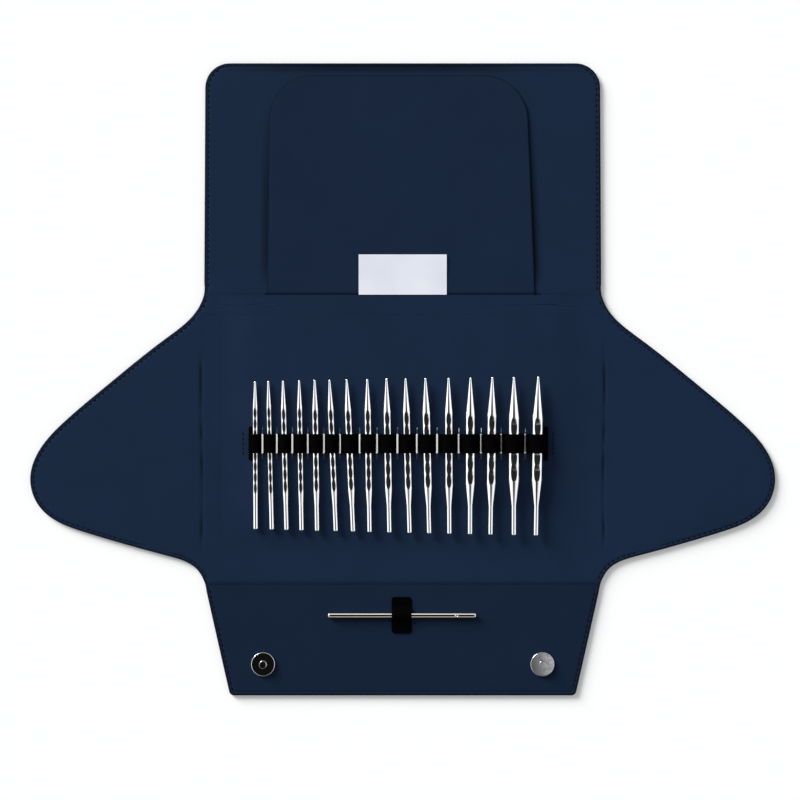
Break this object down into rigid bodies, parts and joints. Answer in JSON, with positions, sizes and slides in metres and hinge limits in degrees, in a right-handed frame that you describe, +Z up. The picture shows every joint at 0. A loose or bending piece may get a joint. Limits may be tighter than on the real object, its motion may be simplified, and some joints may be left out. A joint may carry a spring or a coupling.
{
  "type": "knitting needle case",
  "caption": "Fold-up leatherette case for interchangeable knitting needle tips: pointed side wings, flaps, elastic needle loops, tongue, connector rod and magnetic snaps.",
  "frame": {"origin": "middle of the underside of the centre panel, case laid open", "axes": "+X to the right-hand wing, +Y to the top flap, +Z up out of the lining"},
  "size_m": [0.4846, 0.4111, 0.0132],
  "materials": {
    "cover_leatherette": "fine grain, satin",
    "lining_leatherette": "smooth, satin",
    "tongue_leather": "smooth, satin",
    "greyboard": "matt",
    "card_paper": "smooth white",
    "black_elastic": "woven",
    "staple_wire": "bright flat wire",
    "needle_chrome": "mirror polished",
    "rod_metal": "warm satin metal",
    "snap_nickel": "polished nickel",
    "magnet": "bare"
  },
  "bodies": {
    "core": {"core_cover": "cover_leatherette", "core_board": "greyboard", "core_lining": "lining_leatherette", "tongue_root": "tongue_leather", "needle_elastic": "black_elastic", "elastic_staples": "staple_wire"},
    "left_spine": {"left_spine_cover": "cover_leatherette", "left_spine_lining": "lining_leatherette"},
    "left_wing": {"left_wing_cover": "cover_leatherette", "left_wing_board": "greyboard", "left_wing_lining": "lining_leatherette"},
    "right_spine": {"right_spine_cover": "cover_leatherette", "right_spine_lining": "lining_leatherette"},
    "right_wing": {"right_wing_cover": "cover_leatherette", "right_wing_board": "greyboard", "right_wing_lining": "lining_leatherette"},
    "top_spine": {"top_spine_cover": "cover_leatherette", "top_spine_lining": "lining_leatherette", "tongue_neck": "tongue_leather"},
    "top_flap": {"top_flap_cover": "cover_leatherette", "top_flap_board": "greyboard", "top_flap_lining": "lining_leatherette", "snap_sockets": "snap_nickel", "snap_magnets": "magnet", "snap_socket_plates": "snap_nickel"},
    "tongue": {"tongue": "tongue_leather"},
    "card": {"card": "card_paper"},
    "bottom_spine": {"bottom_spine_cover": "cover_leatherette", "bottom_spine_lining": "lining_leatherette"},
    "bottom_flap": {"bottom_flap_cover": "cover_leatherette", "bottom_flap_board": "greyboard", "bottom_flap_lining": "lining_leatherette", "snap_studs": "snap_nickel", "snap_stud_washers": "snap_nickel", "rod_loop": "black_elastic"},
    "rod": {"connector_rod": "rod_metal"},
    "needle_01": {"needle_tip_01": "needle_chrome"},
    "needle_02": {"needle_tip_02": "needle_chrome"},
    "needle_03": {"needle_tip_03": "needle_chrome"},
    "needle_04": {"needle_tip_04": "needle_chrome"},
    "needle_05": {"needle_tip_05": "needle_chrome"},
    "needle_06": {"needle_tip_06": "needle_chrome"},
    "needle_07": {"needle_tip_07": "needle_chrome"},
    "needle_08": {"needle_tip_08": "needle_chrome"},
    "needle_09": {"needle_tip_09": "needle_chrome"},
    "needle_10": {"needle_tip_10": "needle_chrome"},
    "needle_11": {"needle_tip_11": "needle_chrome"},
    "needle_12": {"needle_tip_12": "needle_chrome"},
    "needle_13": {"needle_tip_13": "needle_chrome"},
    "needle_14": {"needle_tip_14": "needle_chrome"},
    "needle_15": {"needle_tip_15": "needle_chrome"},
    "needle_16": {"needle_tip_16": "needle_chrome"}
  },
  "joints": [
    {"name": "left_spine_fold", "type": "hinge", "parent": "core", "child": "left_spine", "pos_m": [-0.119, 0, 0.0026], "axis": [0, 1, 0], "range_deg": [0, 90]},
    {"name": "left_wing_fold", "type": "hinge", "parent": "left_spine", "child": "left_wing", "pos_m": [-0.13, 0, 0.0026], "axis": [0, 1, 0], "range_deg": [0, 90]},
    {"name": "right_spine_fold", "type": "hinge", "parent": "core", "child": "right_spine", "pos_m": [0.119, 0, 0.0026], "axis": [0, -1, 0], "range_deg": [0, 90]},
    {"name": "right_wing_fold", "type": "hinge", "parent": "right_spine", "child": "right_wing", "pos_m": [0.13, 0, 0.0026], "axis": [0, -1, 0], "range_deg": [0, 90]},
    {"name": "top_spine_fold", "type": "hinge", "parent": "core", "child": "top_spine", "pos_m": [0, 0.0815, 0.004], "axis": [1, 0, 0], "range_deg": [0, 90]},
    {"name": "top_flap_fold", "type": "hinge", "parent": "top_spine", "child": "top_flap", "pos_m": [0, 0.094, 0.004], "axis": [1, 0, 0], "range_deg": [0, 90]},
    {"name": "bottom_spine_fold", "type": "hinge", "parent": "core", "child": "bottom_spine", "pos_m": [0, -0.0712, 0.0026], "axis": [-1, 0, 0], "range_deg": [0, 90]},
    {"name": "bottom_flap_fold", "type": "hinge", "parent": "bottom_spine", "child": "bottom_flap", "pos_m": [0, -0.094, 0.0026], "axis": [-1, 0, 0], "range_deg": [0, 90]},
    {"name": "tongue_fold", "type": "hinge", "parent": "top_flap", "child": "tongue", "pos_m": [0, 0.094, 0.004], "axis": [-1, 0, 0], "range_deg": [-168, 0]},
    {"name": "card_slide", "type": "slide", "parent": "tongue", "child": "card", "axis": [0, 1, 0], "range_m": [0, 0.03]},
    {"name": "rod_slide", "type": "slide", "parent": "bottom_flap", "child": "rod", "axis": [1, 0, 0], "range_m": [-0.045, 0]},
    {"name": "needle_01_slide", "type": "slide", "parent": "core", "child": "needle_01", "axis": [-0.004, 1, 0], "range_m": [-0.045, 0.012]},
    {"name": "needle_02_slide", "type": "slide", "parent": "core", "child": "needle_02", "axis": [-0.024, 0.9997, 0], "range_m": [-0.045, 0.012]},
    {"name": "needle_03_slide", "type": "slide", "parent": "core", "child": "needle_03", "axis": [-0.024, 0.9997, 0], "range_m": [-0.045, 0.012]},
    {"name": "needle_04_slide", "type": "slide", "parent": "core", "child": "needle_04", "axis": [-0.016, 0.9999, 0], "range_m": [-0.045, 0.012]},
    {"name": "needle_05_slide", "type": "slide", "parent": "core", "child": "needle_05", "axis": [-0.016, 0.9999, 0], "range_m": [-0.045, 0.012]},
    {"name": "needle_06_slide", "type": "slide", "parent": "core", "child": "needle_06", "axis": [-0.042, 0.9991, 0], "range_m": [-0.045, 0.012]},
    {"name": "needle_07_slide", "type": "slide", "parent": "core", "child": "needle_07", "axis": [-0.042, 0.9991, 0], "range_m": [-0.045, 0.012]},
    {"name": "needle_08_slide", "type": "slide", "parent": "core", "child": "needle_08", "axis": [-0.015, 0.9999, 0], "range_m": [-0.045, 0.012]},
    {"name": "needle_09_slide", "type": "slide", "parent": "core", "child": "needle_09", "axis": [-0.019, 0.9998, 0], "range_m": [-0.036, 0.012]},
    {"name": "needle_10_slide", "type": "slide", "parent": "core", "child": "needle_10", "axis": [-0.026, 0.9997, 0], "range_m": [-0.036, 0.012]},
    {"name": "needle_11_slide", "type": "slide", "parent": "core", "child": "needle_11", "axis": [-0.024, 0.9997, 0], "range_m": [-0.045, 0.012]},
    {"name": "needle_12_slide", "type": "slide", "parent": "core", "child": "needle_12", "axis": [-0.005, 1, 0], "range_m": [-0.045, 0.012]},
    {"name": "needle_13_slide", "type": "slide", "parent": "core", "child": "needle_13", "axis": [0.003, 1, 0], "range_m": [-0.045, 0.012]},
    {"name": "needle_14_slide", "type": "slide", "parent": "core", "child": "needle_14", "axis": [0.012, 0.9999, 0], "range_m": [-0.045, 0.012]},
    {"name": "needle_15_slide", "type": "slide", "parent": "core", "child": "needle_15", "axis": [0.001, 1, 0], "range_m": [-0.045, 0.012]},
    {"name": "needle_16_slide", "type": "slide", "parent": "core", "child": "needle_16", "axis": [0.015, 0.9999, 0], "range_m": [-0.045, 0.012]}
  ]
}
